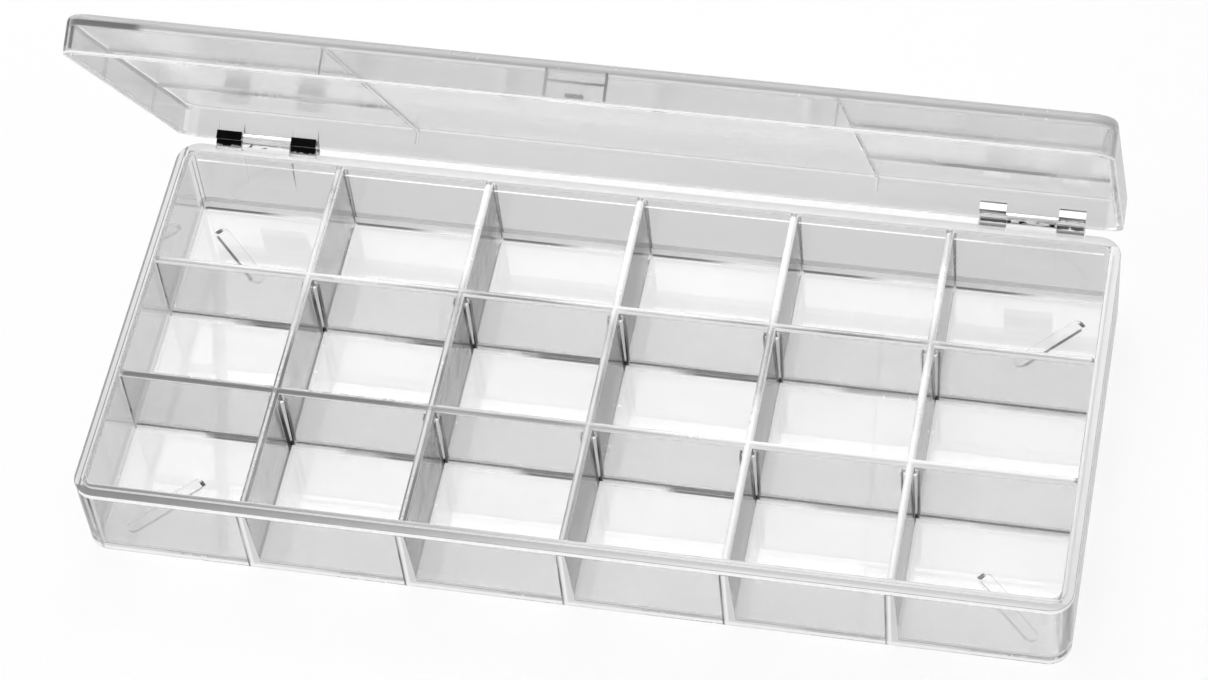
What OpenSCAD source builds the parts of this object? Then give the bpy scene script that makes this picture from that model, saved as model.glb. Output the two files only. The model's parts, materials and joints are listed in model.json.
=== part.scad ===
// Clear hinged box with eighteen small compartments, for beads and small parts.
// The origin is the centre of the tray's underside. X runs along the box, Y to the hinges, Z up.

/* [Box] */
// Outside length of the tray and of the lid
box_l = 210; // [170:2:260]
// Outside depth of the tray and of the lid, front to back
box_d = 95.4; // [78:0.2:120]
// Height of the tray from its underside to the ledge that the lid lands on
tray_h = 22.2; // [16:0.2:34]
// Thickness of the tray's side walls
wall = 2.6; // [2.4:0.1:4]
// Thickness of the tray's floor
floor_t = 2; // [1.2:0.1:3]
// Outer radius of the four upright corners
corner_r = 5; // [4.5:0.5:12]
// Rounding of the tray's bottom edge
bottom_r = 2.4; // [1:0.2:4]
// Radius of the fillets where the walls and the dividers meet the floor
floor_fillet = 0.8; // [0.4:0.1:1.4]
// Radius of the two inside corners at the back
back_corner_r = 1.2; // [0.9:0.1:3]

/* [Rim] */
// Thickness of the lip that locates the lid
lip_t = 0.9; // [0.6:0.1:1.2]
// Height of the lip above the ledge
lip_h = 0.8; // [0.4:0.1:1.6]
// Depth of the step inside the top of the back wall
back_step = 0.4; // [0.1:0.1:0.8]
// Distance from the ledge down to that step
back_step_drop = 3.2; // [2:0.2:8]
// Rounding of the outer edges of the tray's ledge and the lid's rim
rim_r = 0.3; // [0.1:0.05:0.5]

/* [Compartments] */
// Compartments along the length
columns = 6; // [2:1:8]
// Compartments from front to back
rows = 3; // [1:1:4]
// Thickness of a divider at its top
divider_t = 1.7; // [1:0.1:2.4]
// How much thicker a divider is at the floor
divider_draft = 0.5; // [0:0.1:1]
// Distance from the top of the lip down to the top of the dividers
divider_drop = 1; // [0.8:0.1:4]
// How much longer the compartments at the two ends are than the others
end_cell_extra = 1.3; // [0:0.1:4]
// Radius of the round post where two dividers cross
post_r = 1.7; // [1.4:0.1:3]
// Distance from the top of the dividers down to the top of the posts
post_drop = 3.4; // [1:0.2:10]

/* [Feet] */
// Length of a foot, tip to tip
foot_l = 18; // [10:0.5:22]
// Width of a foot
foot_w = 2.6; // [1.6:0.1:4]
// Height of a foot below the underside
foot_h = 0.6; // [0.3:0.1:1.5]
// Distance from the two outer faces to the middle of a foot
foot_inset = 14; // [11:0.5:18]

/* [Lid] */
// Height of the lid from its rim to its top
lid_h = 8.2; // [6:0.2:14]
// Thickness of the lid's panel
lid_panel = 1.8; // [1.2:0.1:2.6]
// Rounding of the lid's top edge
lid_edge_r = 1.6; // [0.8:0.2:3]
// Fillet between the lid's panel and skirt inside
lid_fillet = 0.6; // [0.3:0.1:1.2]
// Gap between the lid's skirt and the lip
lip_gap = 0.2; // [0.1:0.05:0.4]
// Gap between the shut lid's rim and the ledge
seat_gap = 0.15; // [0.05:0.05:0.3]
// Opening angle of the lid, as drawn
lid_angle = 61; // [0:0.5:180]

/* [Lid ribs] */
// Width of a rib on the inside of the lid
rib_w = 0.8; // [0.5:0.1:1.6]
// Height of a rib on the lid's panel
rib_h = 0.5; // [0.2:0.1:1]
// How far a rib stands out of the lid's skirt
rib_skirt_h = 0.3; // [0.1:0.1:0.8]
// Distance from the lid's ends to the ribs that run from front to back
rib_end_inset = 53.8; // [30:0.2:70]
// Distance between the two ribs that run along the lid at each end
rib_spacing = 37.4; // [20:0.2:60]

/* [Catch] */
// Width of the catch in the middle of the lid's front skirt
catch_w = 12; // [8:0.5:20]
// How far the catch's upper half stands out of the skirt
catch_t = 0.6; // [0.3:0.1:0.8]
// How far the catch's lower half stands out of the skirt
catch_step_t = 0.3; // [0.1:0.1:0.5]
// Distance from the lid's rim up to the catch
catch_rim = 1.5; // [1:0.1:2]
// Width of the nib under the catch
nib_w = 3.6; // [2:0.2:8]
// Height of the nib
nib_h = 0.4; // [0.2:0.1:0.5]
// Length of the bead on the lip that the catch snaps past
bead_l = 9; // [4:0.5:12]
// How far the bead stands out of the lip
bead_out = 0.12; // [0.05:0.01:0.15]

/* [Hinges] */
// Distance from the box's ends to the middle of a hinge
hinge_inset = 19.8; // [18:0.2:40]
// Width of the tray's lug between two knuckles
lug_w = 10.8; // [6:0.2:16]
// Width of one of the lid's knuckles
knuckle_w = 5.8; // [3:0.2:9]
// Gap between a lug and a knuckle
side_gap = 0.2; // [0.1:0.05:0.4]
// Outer radius of the lugs and knuckles round the pin
barrel_r = 2; // [1.7:0.1:2.4]
// Radius of the steel hinge pin
pin_r = 0.8; // [0.6:0.05:1]
// Clearance between the pin and the lug's bore, on the radius
pin_play = 0.05; // [0.02:0.01:0.1]
// How much the pin is larger than the knuckles' bores, on the radius
pin_grip = 0.005; // [0:0.005:0.01]
// How far the pin's ends lie inside the knuckles
pin_end_inset = 0.3; // [0:0.1:1]
// Distance from the back wall's outer face to the hinge axis
axis_out = 1.1; // [0.9:0.1:1.6]
// Distance from the ledge down to the hinge axis
axis_drop = 0.1; // [0:0.1:0.5]
// Gap round the lugs and knuckles where they turn past a wall
turn_gap = 0.3; // [0.2:0.05:0.5]
// Length of the lug's web below the hinge axis
lug_web = 12.5; // [6:0.5:14]
// Length of the knuckle's web above the hinge axis
knuckle_web = 4.6; // [3:0.2:5]

/* [Hidden] */
$fn = 64;
clear = [0.86, 0.88, 0.9, 0.55];
steel = [0.62, 0.64, 0.66];
// Overlap that joins two shapes of one moulding
weld = 0.6;
half_l = box_l / 2;
half_d = box_d / 2;
inner_l = box_l - 2 * wall;
inner_d = box_d - 2 * wall;
lip_top = tray_h + lip_h;
divider_top = lip_top - divider_drop;
post_top = divider_top - post_drop;
inner_corner_r = corner_r - wall;
column_pitch = (inner_l + divider_t - 2 * end_cell_extra) / columns;
row_pitch = (inner_d + divider_t) / rows;
skirt_t = wall - lip_t - lip_gap;
lid_inner_l = box_l - 2 * skirt_t;
lid_inner_d = box_d - 2 * skirt_t;
lid_rim = tray_h + seat_gap;
lid_inner_h = lid_h - lid_panel;
lid_inner_corner_r = corner_r - skirt_t;
rib_x = half_l - rib_end_inset;
axis_y = half_d + axis_out;
axis_z = tray_h - axis_drop;
hinge_x = half_l - hinge_inset;
hinge_w = lug_w + 2 * side_gap + 2 * knuckle_w;
knuckle_x = lug_w / 2 + side_gap + knuckle_w / 2;
pin_l = hinge_w - 2 * pin_end_inset;
// Point where a web leaves the barrel, as an angle from straight down or straight up
web_angle = 21;
// Margin of a cutting shape past the face that it cuts
cut = 1;

// Quarter of a disc, in the corner where x is positive and y negative
module quarter_disc(r) {
    intersection() {
        circle(r);
        translate([0, -r]) square(r);
    }
}

// Half outline of a pan in section: straight wall, rounded bottom edge and top edge
module pan_section(reach, h, edge_r, top_r) {
    square([reach - edge_r, h / 2]);
    translate([0, h / 2]) square([reach - top_r, h / 2]);
    translate([0, edge_r]) square([reach, h - edge_r - top_r]);
    translate([reach - edge_r, edge_r]) quarter_disc(edge_r);
    if (top_r > 0) translate([reach - top_r, h - top_r]) mirror([0, 1]) quarter_disc(top_r);
}

// Section of a pan's edge, run along a straight side of the given length
module pan_side(length, reach, h, edge_r, top_r) {
    rotate([90, 0, 90]) translate([0, 0, -length / 2]) linear_extrude(length)
        pan_section(reach, h, edge_r, top_r);
}

// Solid pan with upright corners of two radii and rounded edges, standing on z = 0
module pan(length, depth, h, front_r, back_r, edge_r, top_r = 0) {
    for (side = [-1, 1]) {
        translate([side * (length / 2 - front_r), front_r - depth / 2, 0])
            rotate_extrude() pan_section(front_r, h, edge_r, top_r);
        translate([side * (length / 2 - back_r), depth / 2 - back_r, 0])
            rotate_extrude() pan_section(back_r, h, edge_r, top_r);
    }
    mirror([0, 1, 0]) pan_side(length - 2 * front_r, depth / 2, h, edge_r, top_r);
    pan_side(length - 2 * back_r, depth / 2, h, edge_r, top_r);
    for (side = [0, 1]) mirror([side, 0, 0]) translate([0, (front_r - back_r) / 2, 0]) rotate(-90)
        pan_side(depth - front_r - back_r, length / 2, h, edge_r, top_r);
}

// Flat outline with round corners, centred
module rounded_outline(length, depth, r) {
    square([length - 2 * r, depth], center = true);
    square([length, depth - 2 * r], center = true);
    for (x = [-1, 1], y = [-1, 1]) translate([x * (length / 2 - r), y * (depth / 2 - r)]) circle(r);
}

// Lip along the front and both ends; it stops where the back corners begin
module lip() {
    translate([0, 0, tray_h - weld]) linear_extrude(lip_h + weld) intersection() {
        difference() {
            rounded_outline(inner_l + 2 * lip_t, inner_d + 2 * lip_t, inner_corner_r + lip_t);
            rounded_outline(inner_l, inner_d, inner_corner_r);
        }
        translate([-half_l, -half_d]) square([box_l, box_d - corner_r]);
    }
}

// Bead across the middle of the front lip that the catch snaps past
module bead() {
    bead_r = lip_h / 2;
    translate([0, -inner_d / 2 - lip_t + bead_r - bead_out, tray_h + lip_h / 2])
        rotate([0, 90, 0]) cylinder(h = bead_l, r = bead_r, center = true);
}

// Fillet between the floor and a divider's side that leans back by the given angle
module foot_fillet(lean) {
    reach = floor_fillet / tan(45 + lean / 2);
    side_h = reach * cos(lean);
    difference() {
        polygon([
            [-divider_t / 2, -weld],
            [reach, -weld],
            [reach, floor_fillet],
            [-reach * sin(lean), side_h],
            [-divider_t / 2, side_h]
        ]);
        translate([reach, floor_fillet]) circle(floor_fillet);
    }
}

// Section of a divider: drafted sides, a round top and fillets at the foot
module divider_section() {
    foot = divider_t + divider_draft;
    h = divider_top - divider_t / 2 - floor_t;
    translate([0, h]) circle(divider_t / 2);
    polygon([
        [-foot / 2, -weld],
        [foot / 2, -weld],
        [foot / 2, 0],
        [divider_t / 2, h],
        [-divider_t / 2, h],
        [-foot / 2, 0]
    ]);
    for (side = [0, 1]) mirror([side, 0]) translate([foot / 2, 0])
        foot_fillet(atan(divider_draft / 2 / h));
}

// One upright divider along X, keyed into the walls and floor
module divider(length) {
    rotate([90, 0, 90]) translate([0, floor_t, -length / 2]) linear_extrude(length) divider_section();
}

function column_x(i) = (i - columns / 2) * column_pitch;
function row_y(j) = (j - rows / 2) * row_pitch;

module dividers() {
    for (i = [1 : columns - 1]) translate([column_x(i), 0, 0]) rotate(90) divider(inner_d + 2 * weld);
    if (rows > 1) for (j = [1 : rows - 1]) translate([0, row_y(j), 0]) divider(inner_l + 2 * weld);
}

module posts() {
    if (rows > 1) for (i = [1 : columns - 1], j = [1 : rows - 1])
        translate([column_x(i), row_y(j), floor_t - weld]) cylinder(h = post_top - floor_t + weld, r = post_r);
}

// Four slanted feet that point from the corners to the middle
module feet() {
    run = foot_l / 2 - foot_w / 2;
    for (x = [0, 1], y = [0, 1]) mirror([x, 0, 0]) mirror([0, y, 0])
        translate([half_l - foot_inset, half_d - foot_inset, -foot_h]) rotate(45) linear_extrude(foot_h + weld) {
            square([2 * run, foot_w], center = true);
            translate([run, 0]) circle(foot_w / 2);
            translate([-run, 0]) circle(foot_w / 2);
        }
}

// Barrel round the hinge axis with a tapering web of the given length that meets the wall
module barrel(width, web) {
    rise = barrel_r * cos(web_angle);
    out = barrel_r * sin(web_angle);
    rotate([90, 0, 90]) translate([0, 0, -width / 2]) linear_extrude(width) {
        circle(barrel_r);
        polygon([[-axis_out - weld, 0], [0, 0], [out, rise], [-axis_out, web], [-axis_out - weld, web]]);
    }
}

// Round rod or cutter along the hinge axis
module on_axis(width, r) {
    rotate([0, 90, 0]) cylinder(h = width, r = r, center = true);
}

module at_hinges() {
    for (side = [-1, 1]) translate([side * hinge_x, axis_y, axis_z]) children();
}

module at_knuckles() {
    at_hinges() for (side = [-1, 1]) translate([side * knuckle_x, 0, 0]) children();
}

// Hollows in the back wall that the knuckles turn in
module knuckle_reliefs() {
    at_knuckles() on_axis(knuckle_w + 2 * side_gap, barrel_r + turn_gap);
}

module tray_shell() {
    difference() {
        union() {
            pan(box_l, box_d, tray_h, corner_r, corner_r, bottom_r, rim_r);
            lip();
            bead();
        }
        translate([0, 0, floor_t])
            pan(inner_l, inner_d, lip_top, inner_corner_r, back_corner_r, floor_fillet);
        translate([back_corner_r - inner_l / 2, 0, tray_h - back_step_drop])
            cube([inner_l - 2 * back_corner_r, inner_d / 2 + back_step, back_step_drop + cut]);
        knuckle_reliefs();
    }
}

module tray() {
    color(clear) difference() {
        union() {
            tray_shell();
            dividers();
            posts();
            feet();
            at_hinges() mirror([0, 0, 1]) barrel(lug_w, lug_web);
        }
        at_hinges() on_axis(lug_w + cut, pin_r + pin_play);
    }
}

// Low ribs inside the lid: one pair from front to back, and two short ones to each end
module lid_ribs() {
    along = lid_inner_l / 2 - rib_x;
    for (side = [-1, 1]) {
        translate([side * rib_x, 0, lid_inner_h / 2]) difference() {
            cube([rib_w, lid_inner_d + weld, lid_inner_h], center = true);
            translate([0, 0, -rib_h]) cube([rib_w + cut, lid_inner_d - 2 * rib_skirt_h, lid_inner_h], center = true);
            translate([0, 0, -lid_inner_h / 2]) cube([rib_w + cut, box_d, lid_inner_h], center = true);
        }
        for (row = [-1, 1]) translate([side * (rib_x + along / 2), row * rib_spacing / 2, lid_inner_h - rib_h / 2])
            cube([along + weld, rib_w, rib_h + weld / 2], center = true);
    }
}

// Stepped pad with a nib, on the inside of the front skirt
module catch_pad() {
    h = lid_inner_h - catch_rim;
    face = -lid_inner_d / 2;
    translate([-catch_w / 2, face - weld, catch_rim]) cube([catch_w, weld + catch_step_t, h + weld]);
    translate([-catch_w / 2, face - weld, catch_rim + h / 2]) cube([catch_w, weld + catch_t, h / 2 + weld]);
    translate([-nib_w / 2, face - weld, catch_rim - nib_h]) cube([nib_w, weld + catch_step_t, nib_h + weld]);
}

// Lid shut, with its rim on z = 0
module lid_shell() {
    difference() {
        translate([0, 0, lid_h]) mirror([0, 0, 1])
            pan(box_l, box_d, lid_h, corner_r, corner_r, lid_edge_r, rim_r);
        translate([0, 0, lid_inner_h]) mirror([0, 0, 1])
            pan(lid_inner_l, lid_inner_d, lid_inner_h + cut, lid_inner_corner_r, lid_inner_corner_r, lid_fillet);
    }
    lid_ribs();
    catch_pad();
}

// Hollows in the rear skirt that clear the tray's lugs
module lug_reliefs() {
    at_hinges() on_axis(lug_w + 2 * side_gap, barrel_r + turn_gap);
}

module lid_shut() {
    difference() {
        union() {
            difference() {
                translate([0, 0, lid_rim]) lid_shell();
                lug_reliefs();
            }
            at_knuckles() barrel(knuckle_w, knuckle_web);
        }
        at_knuckles() on_axis(knuckle_w + cut, pin_r - pin_grip);
    }
}

// Turns what it holds about the hinge axis by the lid's angle
module opened() {
    translate([0, axis_y, axis_z]) rotate([-lid_angle, 0, 0]) translate([0, -axis_y, -axis_z]) children();
}

module lid() {
    color(clear) opened() lid_shut();
}

module hinge_pin(side) {
    color(steel) translate([side * hinge_x, axis_y, axis_z]) on_axis(pin_l, pin_r);
}

module hinge_pin_left() {
    hinge_pin(-1);
}

module hinge_pin_right() {
    hinge_pin(1);
}

tray();
lid();
hinge_pin_left();
hinge_pin_right();
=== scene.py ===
import bpy
import json
import math
from mathutils import Matrix, Vector


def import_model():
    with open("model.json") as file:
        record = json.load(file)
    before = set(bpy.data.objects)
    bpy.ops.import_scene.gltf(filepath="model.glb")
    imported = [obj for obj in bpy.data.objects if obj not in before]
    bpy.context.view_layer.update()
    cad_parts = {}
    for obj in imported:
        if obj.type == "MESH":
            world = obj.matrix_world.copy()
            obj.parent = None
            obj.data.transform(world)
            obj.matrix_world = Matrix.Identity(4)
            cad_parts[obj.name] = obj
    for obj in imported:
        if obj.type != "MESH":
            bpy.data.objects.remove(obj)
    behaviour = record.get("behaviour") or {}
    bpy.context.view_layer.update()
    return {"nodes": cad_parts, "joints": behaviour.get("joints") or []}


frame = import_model()
scene = bpy.context.scene

# Camera, fitted to the photograph
LENS = 113.64
EYE = Vector((0.13486, -0.45354, 0.67680))
AZIMUTH = math.radians(16.4365)
ELEVATION = math.radians(53.7789)
ROLL = math.radians(-7.0588)

# The table lies just under the tray's feet
TABLE_Z = -0.00065
# Opening angle of the lid at rest and its hinge axis, which its own directions are measured from
LID_ANGLE = math.radians(-frame["joints"][0]["range_deg"][0])
HINGE = frame["joints"][0]["pos_m"][1:]
# Share of the light that goes through a clean face; the rest is spread by haze
CLARITY = 0.92
# Colours of the painted places that hide what is behind them: painted highlights on the edges, painted shade on the
# lid's upper edge, and painted dark reflections and shade lines
WHITE = 0.97
PALE = 0.72
GREY = 0.5
BLACK = 0.005

# How bright the white surroundings look in a reflection, against how they look straight
MIRRORED = 0.9

# Painted shade: how much light a face lets through, set by the way it points: to the ends, to the front and back, up
# and down
TRAY_FACING_SHADE = (0.99, 0.755, 0.9)
LID_FACING_SHADE = (0.84, 0.81, 1.0)

# The tray's grid, in metres
COLUMN_PITCH = 0.033983
ROW_PITCH = 0.030633
FLOOR_TOP = 0.002
POST_R = 0.0017
POST_TOP = 0.0186
RIM_Z = 0.0215
IN_WALLS = (0.1024, 0.0451)
OUT_WALLS = (0.105, 0.0477)
DIVIDER = 0.0017
FOOT = (0.091, 0.0337)
FOOT_RUN = 0.0077
FOOT_EDGE = 0.0018

# The lid and the hinges, in metres
LID_RIM = 0.02235
LID_TOP = 0.03055
LID_PANEL = 0.02875
LID_INNER = (0.1035, 0.0462)
HINGE_X = 0.0852
LUG_HALF = 0.0054
KNUCKLE_END = 0.0114
RIB_X = 0.0516
RIB_Y = 0.0187
CATCH_X = 0.006
CATCH_STEP = 0.0263
BARREL_R = 0.002


def camera():
    data = bpy.data.cameras.new("camera")
    data.sensor_width = 36.0
    data.lens = LENS
    data.clip_start = 0.01
    obj = bpy.data.objects.new("camera", data)
    scene.collection.objects.link(obj)
    level = Matrix.Rotation(AZIMUTH, 4, "Z") @ Matrix.Rotation(math.pi / 2 - ELEVATION, 4, "X")
    obj.matrix_world = Matrix.Translation(EYE) @ level @ Matrix.Rotation(ROLL, 4, "Z")
    scene.camera = obj


def node(tree, kind, inputs=None, **settings):
    """Adds a node with its settings, and its inputs as links or as plain values."""
    new = tree.nodes.new(kind)
    for key, value in settings.items():
        setattr(new, key, value)
    for key, value in (inputs or {}).items():
        if isinstance(value, bpy.types.NodeSocket):
            tree.links.new(value, new.inputs[key])
        else:
            new.inputs[key].default_value = value
    return new


def calc(tree, operation, *values):
    return node(tree, "ShaderNodeMath", dict(enumerate(values)), operation=operation).outputs[0]


def vector(tree, operation, *values):
    new = node(tree, "ShaderNodeVectorMath", dict(enumerate(values)), operation=operation)
    return new.outputs["Value" if operation == "DOT_PRODUCT" else "Vector"]


def spread(tree, value, low, high, to_low, to_high):
    """Maps a value from one range to another, and stops at its ends."""
    ends = {"Value": value, "From Min": low, "From Max": high, "To Min": to_low, "To Max": to_high}
    return node(tree, "ShaderNodeMapRange", ends).outputs[0]


def noise(tree, place, scale, detail=2.0, stretch=(1, 1, 1)):
    stretched = vector(tree, "MULTIPLY", place, stretch)
    return node(tree, "ShaderNodeTexNoise", {"Vector": stretched, "Scale": scale, "Detail": detail}).outputs[0]


def ramp(tree, value, low, high):
    """Rises smoothly from 0 to 1 between two values, or falls where the first is the higher one."""
    ends = {"Value": value, "From Min": low, "From Max": high}
    return node(tree, "ShaderNodeMapRange", ends, interpolation_type="SMOOTHSTEP").outputs[0]


def both(tree, *masks):
    """Where all the masks hold."""
    held = masks[0]
    for mask in masks[1:]:
        held = calc(tree, "MULTIPLY", held, mask)
    return held


def parts_of(tree, value):
    return node(tree, "ShaderNodeSeparateXYZ", {0: value}).outputs


def most(tree, *masks):
    """Where any of the masks holds."""
    held = masks[0]
    for mask in masks[1:]:
        held = calc(tree, "MAXIMUM", held, mask)
    return held


def distance(tree, across, along):
    return calc(tree, "SQRT", calc(tree, "ADD", calc(tree, "MULTIPLY", across, across),
                                   calc(tree, "MULTIPLY", along, along)))


def darken(tree, *pairs):
    """Shade left over where each mask takes its share of the light."""
    left = 1.0
    for mask, share in pairs:
        left = calc(tree, "MULTIPLY", left, calc(tree, "SUBTRACT", 1.0, calc(tree, "MULTIPLY", mask, share)))
    return left


def between(tree, value, low, high, soft=0.0001):
    """Where a value lies between two others."""
    return both(tree, ramp(tree, value, low - soft, low), ramp(tree, value, high + soft, high))


def from_hinge(tree, place):
    """Distance along the box from the middle of a hinge, distance from its axis and the angle from front to top."""
    x, y, z = parts_of(tree, place)
    front = calc(tree, "SUBTRACT", HINGE[0], y)
    rise = calc(tree, "SUBTRACT", z, HINGE[1])
    off = calc(tree, "ABSOLUTE", calc(tree, "SUBTRACT", calc(tree, "ABSOLUTE", x), HINGE_X))
    return off, distance(tree, front, rise), calc(tree, "ARCTAN2", rise, front)


def new_material(name):
    mat = bpy.data.materials.new(name)
    mat.use_nodes = True
    mat.node_tree.nodes.clear()
    return mat, mat.node_tree


def tray_marks(tree, place, facing):
    """Painted highlights on edges and posts, and painted shade: on tops, ledges and ends, and as the dark lines that
    the plastic draws at the posts, feet and corners.
    """
    x, y, z = parts_of(tree, place)
    right, back, up = parts_of(tree, facing)
    side_x = calc(tree, "ABSOLUTE", x)
    side_y = calc(tree, "ABSOLUTE", y)
    off_column = calc(tree, "PINGPONG", side_x, COLUMN_PITCH / 2)
    off_row = calc(tree, "ABSOLUTE", calc(tree, "SUBTRACT", side_y, ROW_PITCH / 2))
    away = distance(tree, off_column, off_row)
    in_grid = ramp(tree, side_x, 2.5 * COLUMN_PITCH, 2.49 * COLUMN_PITCH)
    upright = ramp(tree, calc(tree, "ABSOLUTE", up), 0.5, 0.3)

    # Painted highlight: the posts are coloured white; painted shade puts dark outlines beside them, a dark patch at
    # their feet and dark lines before them
    low = ramp(tree, z, POST_TOP + 0.0003, POST_TOP)
    post = both(tree, in_grid, low, ramp(tree, away, POST_R + 0.0001, POST_R + 0.00005),
                ramp(tree, z, FLOOR_TOP + 0.0012, FLOOR_TOP + 0.0022))
    beside = both(tree, in_grid, low, upright, ramp(tree, away, POST_R + 0.0007, POST_R + 0.0002),
                  ramp(tree, away, POST_R, POST_R + 0.0001))
    beyond = calc(tree, "WRAP", x, COLUMN_PITCH / 2, -COLUMN_PITCH / 2)
    past = calc(tree, "WRAP", calc(tree, "SUBTRACT", y, ROW_PITCH / 2), ROW_PITCH / 2, -ROW_PITCH / 2)
    under = both(tree, in_grid, upright, ramp(tree, away, POST_R + 0.0005, POST_R + 0.0003),
                 ramp(tree, past, -0.0007, -0.0012), ramp(tree, z, FLOOR_TOP + 0.0026, FLOOR_TOP + 0.0018))
    before = both(tree, in_grid, low, upright, between(tree, past, -0.0032, -POST_R), ramp(tree, side_y, 0.03, 0.029),
                  between(tree, beyond, DIVIDER / 2 - 0.0002, DIVIDER / 2 + 0.0003))

    # Painted highlight along the near edge of the tops, and painted shade on their far side
    near = calc(tree, "MAXIMUM", right, calc(tree, "MULTIPLY", back, -1))
    top = ramp(tree, z, RIM_Z - 0.0006, RIM_Z)
    edge = both(tree, ramp(tree, z, RIM_Z - 0.0006, RIM_Z - 0.0004), ramp(tree, up, -0.05, 0),
                ramp(tree, up, 0.8, 0.6), ramp(tree, near, 0.3, 0.6))
    far = both(tree, top, ramp(tree, up, 0.98, 0.7), ramp(tree, near, 0.1, -0.2))
    in_walls = both(tree, ramp(tree, side_x, IN_WALLS[0], IN_WALLS[0] - 0.001),
                    ramp(tree, side_y, IN_WALLS[1], IN_WALLS[1] - 0.001))
    patches = noise(tree, place, 14, 2, (1, 2, 1))
    # Painted light in patches on the divider tops, less in the dim front left part, where painted shade and dark edges
    # go instead
    crown = both(tree, top, in_walls, ramp(tree, up, 0.1, 0.4))
    dim = both(tree, ramp(tree, x, 0.03, -0.01), ramp(tree, y, 0.012, -0.008))
    painted_light_tops = both(tree, crown, spread(tree, patches, 0.42, 0.58, 0.15, 0.8),
                calc(tree, "SUBTRACT", 1.0, calc(tree, "MULTIPLY", dim, 0.7)))
    painted_shade_tops = both(tree, crown, dim, spread(tree, patches, 0.42, 0.58, 0.6, 0.2))
    aside = between(tree, calc(tree, "ABSOLUTE", beyond), 0.0004, 0.001, 0.0002)
    edged = both(tree, crown, dim, most(tree, both(tree, in_grid, aside), between(tree, past, -0.001, -0.0001, 0.0003)),
                 spread(tree, patches, 0.4, 0.6, 0.7, 0.3))
    # Painted highlight on the fillet at each divider's foot
    toe = both(tree, ramp(tree, z, FLOOR_TOP + 0.0005, FLOOR_TOP + 0.0002), ramp(tree, up, 0.4, 0.7),
               ramp(tree, up, 0.999, 0.98))

    # Painted highlight: a white line along the step near the top of the back wall
    step = both(tree, ramp(tree, y, IN_WALLS[1] - 0.0001, IN_WALLS[1]), ramp(tree, up, 0.5, 0.9),
                ramp(tree, z, RIM_Z - 0.001, RIM_Z - 0.002))
    # Painted light: a pale band low on the front faces of the dividers and the back wall, and painted shade as a broken
    # dark line at their foot
    cell = calc(tree, "FRACT", calc(tree, "DIVIDE", calc(tree, "ADD", x, 3 * COLUMN_PITCH), COLUMN_PITCH))
    breaks = noise(tree, place, 60, 2)
    at_back = ramp(tree, y, IN_WALLS[1] - 0.0008, IN_WALLS[1] - 0.0006)
    in_rows = ramp(tree, side_y, IN_WALLS[1] - 0.0006, IN_WALLS[1] - 0.0008)
    drift = calc(tree, "ADD", cell, calc(tree, "MULTIPLY", breaks, 0.8))
    lined = both(tree, in_rows, ramp(tree, drift, 0.75, 1.0), spread(tree, x, 0.03, 0.07, 1.0, 0.25))
    painted_pale_feet = both(tree, ramp(tree, back, -0.2, -0.4), ramp(tree, z, FLOOR_TOP, FLOOR_TOP + 0.0001),
                 calc(tree, "SUBTRACT", 1.0, lined),
                 most(tree, ramp(tree, z, FLOOR_TOP + 0.0014, FLOOR_TOP + 0.001),
                      both(tree, at_back, ramp(tree, z, FLOOR_TOP + 0.0026, FLOOR_TOP + 0.002))))
    foot_line = both(tree, ramp(tree, back, -0.2, -0.4), ramp(tree, z, FLOOR_TOP + 0.0005, FLOOR_TOP + 0.0003),
                     ramp(tree, z, FLOOR_TOP, FLOOR_TOP + 0.0001),
                     most(tree, lined, both(tree, at_back, ramp(tree, cell, 0.65, 0.35))))

    # Painted shade: dark outlines of the feet, seen through the floor, with a hook at their ends
    half = calc(tree, "SIGN", y)
    foot_x = calc(tree, "SUBTRACT", side_x, FOOT[0])
    foot_y = calc(tree, "SUBTRACT", side_y, FOOT[1])
    fore = calc(tree, "MULTIPLY", half, calc(tree, "SUBTRACT", foot_x, foot_y))
    tip = calc(tree, "MULTIPLY", half, calc(tree, "ADD", foot_x, foot_y))
    along = both(tree, between(tree, fore, FOOT_EDGE, FOOT_EDGE + 0.0009),
                 ramp(tree, calc(tree, "ABSOLUTE", tip), 1.45 * FOOT_RUN, 1.4 * FOOT_RUN))
    hook = both(tree, between(tree, tip, 1.55 * FOOT_RUN, 1.68 * FOOT_RUN), ramp(tree, fore, -0.0008, 0.0002),
                ramp(tree, fore, 0.0022, 0.0018))
    standing = both(tree, ramp(tree, z, 0.0002, 0.0001),
                    most(tree, hook, both(tree, along, spread(tree, half, -1, 1, 0.15, 0.85))))

    # Painted light: a pale band low on the outside of the front wall
    outside = most(tree, ramp(tree, side_x, OUT_WALLS[0] - 0.0009, OUT_WALLS[0] - 0.0005),
                   ramp(tree, side_y, OUT_WALLS[1] - 0.0009, OUT_WALLS[1] - 0.0005))
    skirting = both(tree, outside, ramp(tree, y, -0.038, -0.042), ramp(tree, z, 0.0046, 0.0038),
                    spread(tree, drift, 0.7, 1.0, 0.95, 0.6))
    # Painted shade on the right end's outer face; the divider ends seen through the front wall are painted pale, with a
    # white core and a dark line
    end_face = both(tree, ramp(tree, x, OUT_WALLS[0] - 0.0003, OUT_WALLS[0] - 0.0001), upright)
    front_face = both(tree, ramp(tree, y, -OUT_WALLS[1] + 0.0003, -OUT_WALLS[1] + 0.0001), in_grid,
                      ramp(tree, z, RIM_Z - 0.0004, RIM_Z - 0.001))
    leaned = calc(tree, "ADD", beyond, calc(tree, "MULTIPLY", z, 0.05))
    divider_end = both(tree, front_face, ramp(tree, beyond, -DIVIDER / 2, -DIVIDER / 2 + 0.0002),
                       ramp(tree, leaned, 0.0023, 0.002))
    divider_core = both(tree, front_face, between(tree, beyond, -0.0001, 0.0003, 0.0002))
    divider_line = both(tree, front_face, between(tree, beyond, -DIVIDER / 2, -DIVIDER / 2 + 0.0003),
                        spread(tree, breaks, 0.35, 0.55, 0.5, 1.0))
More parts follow.
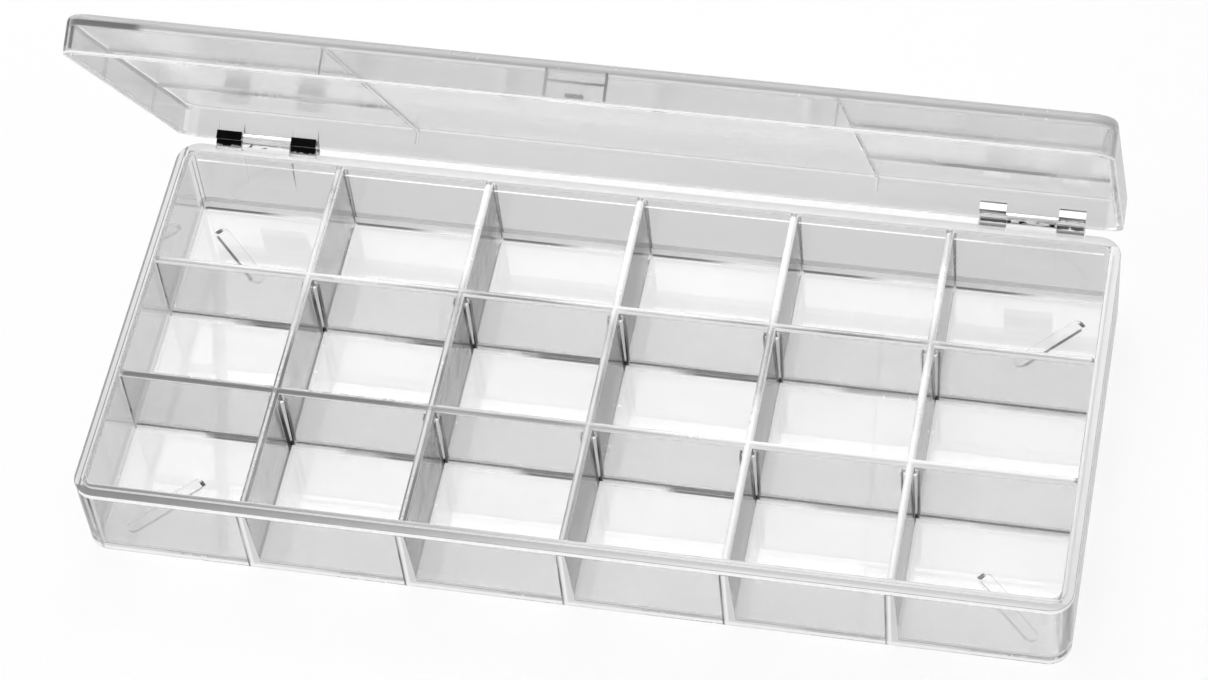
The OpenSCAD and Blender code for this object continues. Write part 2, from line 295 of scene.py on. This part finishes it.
    # Painted light on the ledges
    on_ledge = both(tree, ramp(tree, z, RIM_Z + 0.0003, RIM_Z + 0.0005), ramp(tree, up, 0.8, 0.95))
    ledge = both(tree, on_ledge, most(tree, ramp(tree, side_x, IN_WALLS[0], IN_WALLS[0] + 0.0004),
                                      ramp(tree, y, IN_WALLS[1], IN_WALLS[1] + 0.0004)))
    front_ledge = both(tree, on_ledge, ramp(tree, y, -IN_WALLS[1], -IN_WALLS[1] - 0.0004))

    # Painted dark reflections: a dark line along the top of the hinge lug and ragged dark patches on it
    off, away, angle = from_hinge(tree, place)
    lug_top = both(tree, ramp(tree, off, LUG_HALF + 0.0002, LUG_HALF + 0.0001),
                   between(tree, away, BARREL_R - 0.0001, BARREL_R + 0.0001), ramp(tree, angle, 1.9, 2.0))

    at_lug = both(tree, ramp(tree, off, LUG_HALF, LUG_HALF - 0.0002), between(tree, away, BARREL_R - 0.0002, BARREL_R + 0.0002))
    grain = noise(tree, place, 700, 3, (0.6, 1, 1))
    dark_patches = both(tree, at_lug, most(tree,
                  both(tree, ramp(tree, x, 0, 0.001), between(tree, angle, 0.95, 1.45, 0.1),
                       ramp(tree, off, 0.0004, 0.0014), ramp(tree, grain, 0.4, 0.46)),
                  both(tree, ramp(tree, x, 0, -0.001), between(tree, angle, 0.6, 0.9, 0.1), ramp(tree, grain, 0.52, 0.58))))

    # Painted shade: dark lines in the back corners
    corner_back = both(tree, upright, ramp(tree, y, IN_WALLS[1] - 0.0009, IN_WALLS[1] - 0.0005),
                       ramp(tree, z, RIM_Z - 0.0015, RIM_Z - 0.0025), spread(tree, z, FLOOR_TOP, RIM_Z, 1.0, 0.6),
                       most(tree, both(tree, in_grid, between(tree, beyond, DIVIDER / 2, DIVIDER / 2 + 0.0003)),
                            between(tree, x, -IN_WALLS[0], -IN_WALLS[0] + 0.0002)))
    left_face = both(tree, ramp(tree, x, -OUT_WALLS[0] + 0.0003, -OUT_WALLS[0] + 0.0001), upright)
    # Painted shade on the far side of the tops and on the left and right end faces
    dark = darken(tree, (far, 0.3), (left_face, 0.42), (end_face, 0.35))
    # Painted highlights: rim edges, posts, the back step, divider tops and feet, and divider ends seen through the
    # front wall, coloured white
    painted_highlights = most(tree, edge, post, step, calc(tree, "MULTIPLY", painted_light_tops, 0.8), calc(tree, "MULTIPLY", toe, 0.5),
                   calc(tree, "MULTIPLY", divider_core, 0.8), calc(tree, "MULTIPLY", painted_pale_feet, 0.85))
    pale = most(tree, calc(tree, "MULTIPLY", ledge, 0.7), calc(tree, "MULTIPLY", skirting, 0.9),
                calc(tree, "MULTIPLY", front_ledge, 0.85), calc(tree, "MULTIPLY", divider_end, 0.85))
    # Painted shade: the back ledge grey, the front ledge grey towards its left and along a middle band, and darker
    # further left
    back_ledge = both(tree, on_ledge, ramp(tree, y, IN_WALLS[1], IN_WALLS[1] + 0.0004))
    middle = between(tree, y, -0.0467, -0.0458, 0.0004)
    grey = most(tree, calc(tree, "MULTIPLY", end_face, 0.45), calc(tree, "MULTIPLY", back_ledge, 0.75), painted_shade_tops,
                both(tree, front_ledge, spread(tree, x, -0.03, 0.04, 0.9, 0.15)),
                both(tree, front_ledge, middle, spread(tree, x, 0.03, 0.1, 0.7, 0.5)))
    shaded_ledge = both(tree, front_ledge, spread(tree, x, -0.09, 0.02, 0.55, 0.0))
    # Painted shade: dark lines along the left ledge and at the front left corner
    left_lines = both(tree, ramp(tree, z, RIM_Z - 0.0002, RIM_Z + 0.0001),
                      most(tree, between(tree, x, -0.1052, -0.1045), between(tree, x, -0.1035, -0.1031)))
    corner_line = both(tree, ramp(tree, y, -0.04, -0.043), outside, ramp(tree, z, RIM_Z - 0.0004, RIM_Z - 0.0008),
                       between(tree, x, -0.1013, -0.1008, 0.0002), spread(tree, z, 0.002, RIM_Z, 0.3, 0.9))
    # All the painted dark lines, dark reflections and shade
    black = most(tree, standing, shaded_ledge, corner_line, dark_patches, edged, calc(tree, "MULTIPLY", left_lines, 0.6),
                 calc(tree, "MULTIPLY", corner_back, 0.7), under,
                 calc(tree, "MULTIPLY", divider_line, 0.8), calc(tree, "MULTIPLY", lug_top, 0.6),
                 calc(tree, "MULTIPLY", foot_line, 0.8), both(tree, most(tree, beside, before), spread(tree, breaks, 0.4, 0.6, 0.5, 0.95)))
    return dark, 0.0, ((pale, PALE), (grey, GREY), (painted_highlights, WHITE), (black, BLACK))


def lid_marks(tree, place, facing):
    """Painted highlight on the edge of the lid's rim, painted shade on its upper edge and ends, painted reflections at
    the knuckles, painted dark lines at the ribs and catch, and dark marks at one corner.
    """
    x, y, z = parts_of(tree, place)
    right, back, up = parts_of(tree, facing)
    side_x = calc(tree, "ABSOLUTE", x)
    side_y = calc(tree, "ABSOLUTE", y)
    open_edge = ramp(tree, y, HINGE[0] - 0.002, HINGE[0] - 0.004)
    breaks = noise(tree, place, 60, 2)
    # Painted highlight: the rim's lower edge coloured white; painted shade: a grey band along the upper edge
    rim = both(tree, ramp(tree, z, LID_RIM + 0.0006, LID_RIM + 0.0003), ramp(tree, up, -0.98, -0.9), open_edge)
    outside = most(tree, ramp(tree, side_x, OUT_WALLS[0] - 0.0019, OUT_WALLS[0] - 0.0016),
                   ramp(tree, side_y, OUT_WALLS[1] - 0.0019, OUT_WALLS[1] - 0.0016))
    crest = both(tree, outside, spread(tree, z, LID_TOP - 0.0028, LID_TOP - 0.0024, 0.0, 0.5),
                 ramp(tree, up, 0.95, 0.8), ramp(tree, up, -0.4, -0.2), open_edge)
    crest = most(tree, crest, both(tree, crest, ramp(tree, z, LID_TOP - 0.0018, LID_TOP - 0.0012)))
    # Painted shade on the right end's outer face
    end_face = both(tree, ramp(tree, x, OUT_WALLS[0] - 0.0003, OUT_WALLS[0] - 0.0001),
                    ramp(tree, calc(tree, "ABSOLUTE", up), 0.3, 0.1))

    # Painted reflections at the knuckles: the left ones dark, the right ones with a white strip between broken dark
    # lines
    off, away, angle = from_hinge(tree, place)
    at_knuckle = between(tree, off, LUG_HALF + 0.0003, KNUCKLE_END)
    left = ramp(tree, x, 0, -0.001)
    barrel = both(tree, at_knuckle, between(tree, away, BARREL_R - 0.0003, BARREL_R + 0.0001))
    inner = both(tree, at_knuckle, between(tree, y, LID_INNER[1] - 0.0003, LID_INNER[1] + 0.0002))
    strip = both(tree, inner, between(tree, z, 0.0242, 0.0256))
    lines = both(tree, inner, most(tree, between(tree, z, 0.0237, 0.0241), between(tree, z, 0.0257, 0.0259)))
    grain = noise(tree, place, 900, 3)
    ragged = calc(tree, "ADD", angle, calc(tree, "MULTIPLY", grain, 0.8))
    painted_dark_reflections = most(tree, both(tree, left, most(tree, both(tree, barrel, ramp(tree, ragged, -0.2, -0.1)),
                                               both(tree, inner, ramp(tree, z, 0.0244, 0.0242)))),
                   both(tree, calc(tree, "SUBTRACT", 1.0, left), lines, spread(tree, breaks, 0.35, 0.6, 0.7, 1.0)))
    shine = both(tree, strip, calc(tree, "SUBTRACT", 1.0, left))

    # A dark patch at the front left corner and a dark streak along the top of the front skirt
    front = ramp(tree, y, -0.043, -0.0445)
    dark_corner_patch = both(tree, front, between(tree, x, -0.1047, -0.1037, 0.0003),
                 between(tree, z, LID_RIM + 0.0016, LID_TOP - 0.0012, 0.0008))
    streak = both(tree, ramp(tree, y, -0.0462, -0.0466), between(tree, x, -0.102, -0.09, 0.003),
                  between(tree, z, LID_TOP - 0.0024, LID_TOP - 0.0015, 0.0004))

    # Painted shade: broken dark lines along the ribs and round the catch
    rib = both(tree, between(tree, side_x, RIB_X - 0.0004, RIB_X - 0.0001),
               ramp(tree, y, LID_INNER[1], LID_INNER[1] - 0.0002),
               ramp(tree, side_y, LID_INNER[1] + 0.0002, LID_INNER[1] + 0.0001),
               ramp(tree, z, LID_PANEL + 0.0002, LID_PANEL))
    long_rib = both(tree, ramp(tree, side_x, RIB_X, RIB_X + 0.0005), ramp(tree, z, LID_PANEL + 0.0002, LID_PANEL),
                    between(tree, side_y, RIB_Y - 0.0004, RIB_Y - 0.0001))
    catch = both(tree, front, ramp(tree, side_x, CATCH_X + 0.0003, CATCH_X + 0.0002),
                 most(tree, ramp(tree, side_x, CATCH_X - 0.0003, CATCH_X - 0.0002),
                      between(tree, z, CATCH_STEP, CATCH_STEP + 0.0002),
                      both(tree, ramp(tree, side_x, 0.0019, 0.0017), between(tree, z, 0.0233, 0.024))))
    painted_dark_lines = both(tree, most(tree, rib, long_rib, both(tree, catch, between(tree, z, 0.0233, LID_PANEL))),
                 spread(tree, breaks, 0.35, 0.6, 0.3, 0.7))
    black = most(tree, painted_dark_reflections, calc(tree, "MULTIPLY", dark_corner_patch, 0.85), calc(tree, "MULTIPLY", streak, 0.75), painted_dark_lines)
    # Painted shade: grey on the fillet inside the front skirt, and darker left and right ends and back skirt
    fillet = both(tree, ramp(tree, y, -LID_INNER[1] + 0.0008, -LID_INNER[1] + 0.0006), ramp(tree, up, 0.95, 0.9),
                  between(tree, z, LID_PANEL - 0.0006, LID_PANEL, 0.0002), ramp(tree, y, -0.0472, -0.047))
    left_face = ramp(tree, x, -OUT_WALLS[0] + 0.0003, -OUT_WALLS[0] + 0.0001)
    grey = most(tree, crest, calc(tree, "MULTIPLY", end_face, 0.45),
                calc(tree, "MULTIPLY", fillet, 0.7))
    back_skirt = both(tree, ramp(tree, y, LID_INNER[1] - 0.0003, LID_INNER[1] - 0.0001),
                      ramp(tree, z, LID_TOP - 0.0004, LID_TOP - 0.0006))
    dark = darken(tree, (left_face, 0.42), (end_face, 0.35), (back_skirt, 0.2))
    haze = both(tree, between(tree, z, LID_PANEL - 0.0001, LID_PANEL + 0.0001),
                ramp(tree, calc(tree, "ABSOLUTE", up), 0.9, 0.98))
    return dark, haze, ((grey, GREY), (most(tree, rim, shine), WHITE), (black, BLACK))


def clear_plastic(name, facing_shades, marks, density, turn=0.0):
    """Clear moulded plastic, with flow marks, drawn sides and fine scuffs. Turn is the angle that the piece stands at."""
    mat, tree = new_material(name)
    coords = node(tree, "ShaderNodeTexCoord")
    hinge = (0, *HINGE) if turn else (0, 0, 0)
    place = node(tree, "ShaderNodeVectorRotate",
                 {"Vector": coords.outputs["Object"], "Center": hinge, "Angle": turn},
                 rotation_type="X_AXIS").outputs[0]
    facing = node(tree, "ShaderNodeVectorRotate", {"Vector": coords.outputs["Normal"], "Angle": turn},
                  rotation_type="X_AXIS").outputs[0]
    dark, haze, coats = marks(tree, place, facing)
    facing = vector(tree, "ABSOLUTE", facing)
    # Painted shade: each face's colour darkened by the way it points
    tint = calc(tree, "DIVIDE", vector(tree, "DOT_PRODUCT", facing, facing_shades),
                vector(tree, "DOT_PRODUCT", facing, (1, 1, 1)))
    ends = ramp(tree, parts_of(tree, facing)[0], 0.9, 0.99)

    flow = noise(tree, place, 26, 3, (0.6, 1.4, 1.0))
    drawn = noise(tree, place, 1, 1, (0, 1500, 40))
    hatch = calc(tree, "MULTIPLY", calc(tree, "SUBTRACT", drawn, 0.5), ends)
    shade = calc(tree, "MULTIPLY", spread(tree, flow, 0.3, 0.7, 0.97, 1.03),
                 calc(tree, "ADD", 1.0, calc(tree, "MULTIPLY", hatch, 0.45)))
    tint = calc(tree, "MULTIPLY", calc(tree, "MULTIPLY", tint, shade), dark)
    clarity = CLARITY
    covered = 0.0
    for mask, shade in coats:
        tint = calc(tree, "ADD", tint, calc(tree, "MULTIPLY", mask, calc(tree, "SUBTRACT", shade, tint)))
        clarity = calc(tree, "MULTIPLY", clarity, calc(tree, "SUBTRACT", 1.0, mask))
        covered = calc(tree, "MAXIMUM", covered, mask)
    colour = node(tree, "ShaderNodeCombineColor", {"Red": tint, "Green": tint, "Blue": tint}).outputs[0]

    scuffs = noise(tree, place, 420, 4)
    rough = spread(tree, scuffs, 0.45, 0.75, 0.03, 0.09)
    rough = calc(tree, "ADD", rough, calc(tree, "MAXIMUM", calc(tree, "MULTIPLY", covered, 0.4),
                                          calc(tree, "MULTIPLY", haze, 0.12)))
    # The painted black shade is made metallic, since a black metal reflects less than black plastic does
    matt = ramp(tree, coats[-1][0], 0.6, 1.0)
    waves = noise(tree, place, 70, 2)
    bump = node(tree, "ShaderNodeBump", {"Height": waves, "Strength": 0.08, "Distance": 0.0004})

    glass = node(tree, "ShaderNodeBsdfPrincipled", {
        "Base Color": colour, "Roughness": rough, "Normal": bump.outputs[0], "Metallic": matt,
        "IOR": 1.45, "Transmission Weight": clarity})
    lets = node(tree, "ShaderNodeBsdfTransparent", {"Color": (0.93, 0.93, 0.93, 1)})
    path = node(tree, "ShaderNodeLightPath")
    mix = node(tree, "ShaderNodeMixShader", {
        0: path.outputs["Is Shadow Ray"], 1: glass.outputs[0], 2: lets.outputs[0]})
    body = node(tree, "ShaderNodeVolumeAbsorption", {"Color": (0, 0, 0, 1), "Density": density})
    node(tree, "ShaderNodeOutputMaterial", {0: mix.outputs[0], 1: body.outputs[0]})
    return mat


def steel():
    """Drawn steel wire, dark between the plastic, darker in ragged patches over its top and upper back, with fine
    scratches round it.
    """
    mat, tree = new_material("pin_steel")
    place = node(tree, "ShaderNodeTexCoord").outputs["Object"]
    drawn = noise(tree, place, 1, 2, (9000, 300, 300))
    blotches = noise(tree, place, 700, 4, (0.7, 1, 1))
    angle = calc(tree, "ADD", from_hinge(tree, place)[2], calc(tree, "MULTIPLY", blotches, 0.8))
    dark_patches = both(tree, between(tree, angle, 1.3, 2.5, 0.2), ramp(tree, blotches, 0.36, 0.42))
    tint = calc(tree, "MULTIPLY", spread(tree, drawn, 0.3, 0.7, 0.8, 1.0), spread(tree, dark_patches, 0.0, 1.0, 0.75, 0.01))
    colour = node(tree, "ShaderNodeCombineColor", {"Red": tint, "Green": tint, "Blue": tint}).outputs[0]
    bump = node(tree, "ShaderNodeBump", {"Height": drawn, "Strength": 0.2, "Distance": 0.0001})
    metal = node(tree, "ShaderNodeBsdfPrincipled", {
        "Base Color": colour, "Metallic": 1.0, "Roughness": spread(tree, blotches, 0.3, 0.7, 0.28, 0.45),
        "Normal": bump.outputs[0]})
    node(tree, "ShaderNodeOutputMaterial", {0: metal.outputs[0]})
    return mat


def seen_rays(tree):
    """1 for rays that look at a thing, straight or through the plastic, and less for a reflection."""
    path = node(tree, "ShaderNodeLightPath")
    mirrored = calc(tree, "MULTIPLY", path.outputs["Is Glossy Ray"], MIRRORED)
    looks = calc(tree, "MAXIMUM", path.outputs["Is Camera Ray"], mirrored)
    return calc(tree, "MAXIMUM", looks, path.outputs["Is Transmission Ray"])


def table():
    mesh = bpy.data.meshes.new("table")
    corners = [(x * 4, y * 4, TABLE_Z) for x, y in ((-1, -1), (1, -1), (1, 1), (-1, 1))]
    mesh.from_pydata(corners, [], [(0, 1, 2, 3)])
    obj = bpy.data.objects.new("table", mesh)
    scene.collection.objects.link(obj)
    mat, tree = new_material("table")
    paper = node(tree, "ShaderNodeBsdfDiffuse", {"Color": (0.9, 0.9, 0.9, 1)})
    white = node(tree, "ShaderNodeEmission")
    share = calc(tree, "MULTIPLY", seen_rays(tree), 0.75)
    mix = node(tree, "ShaderNodeMixShader", {0: share, 1: paper.outputs[0], 2: white.outputs[0]})
    node(tree, "ShaderNodeOutputMaterial", {0: mix.outputs[0]})
    mesh.materials.append(mat)


def world():
    scene.world = bpy.data.worlds.new("world")
    scene.world.use_nodes = True
    tree = scene.world.node_tree
    tree.nodes.clear()
    light = node(tree, "ShaderNodeBackground", {"Color": (1, 1, 1, 1), "Strength": 0.5})
    seen = node(tree, "ShaderNodeBackground", {"Color": (1, 1, 1, 1), "Strength": 1.0})
    mix = node(tree, "ShaderNodeMixShader", {0: seen_rays(tree), 1: light.outputs[0], 2: seen.outputs[0]})
    node(tree, "ShaderNodeOutputWorld", {0: mix.outputs[0]})


def lamp(name, size, power, place, target=(0, 0, 0)):
    data = bpy.data.lights.new(name, "AREA")
    data.shape = "RECTANGLE"
    data.size, data.size_y = size
    data.energy = power
    obj = bpy.data.objects.new(name, data)
    scene.collection.objects.link(obj)
    obj.location = place
    obj.visible_glossy = False
    obj.rotation_mode = "QUATERNION"
    obj.rotation_quaternion = (Vector(target) - Vector(place)).to_track_quat("-Z", "Y")


camera()
world()
table()
lamp("key", (0.8, 0.8), 9, (-0.3, 0.7, 1.0))
lamp("fill", (0.9, 0.5), 4, (-0.2, -1.0, 0.6))

finishes = {
    "tray": clear_plastic("tray_plastic", TRAY_FACING_SHADE, tray_marks, 34),
    "lid": clear_plastic("lid_plastic", LID_FACING_SHADE, lid_marks, 4, LID_ANGLE)}
wire = steel()
for name, piece in frame["nodes"].items():
    piece.data.materials.clear()
    piece.data.materials.append(finishes.get(name, wire))

scene.view_settings.view_transform = "Standard"
# The plastic leads light a long way inside its walls
scene.cycles.max_bounces = 64
scene.cycles.transmission_bounces = 64
scene.cycles.transparent_max_bounces = 32
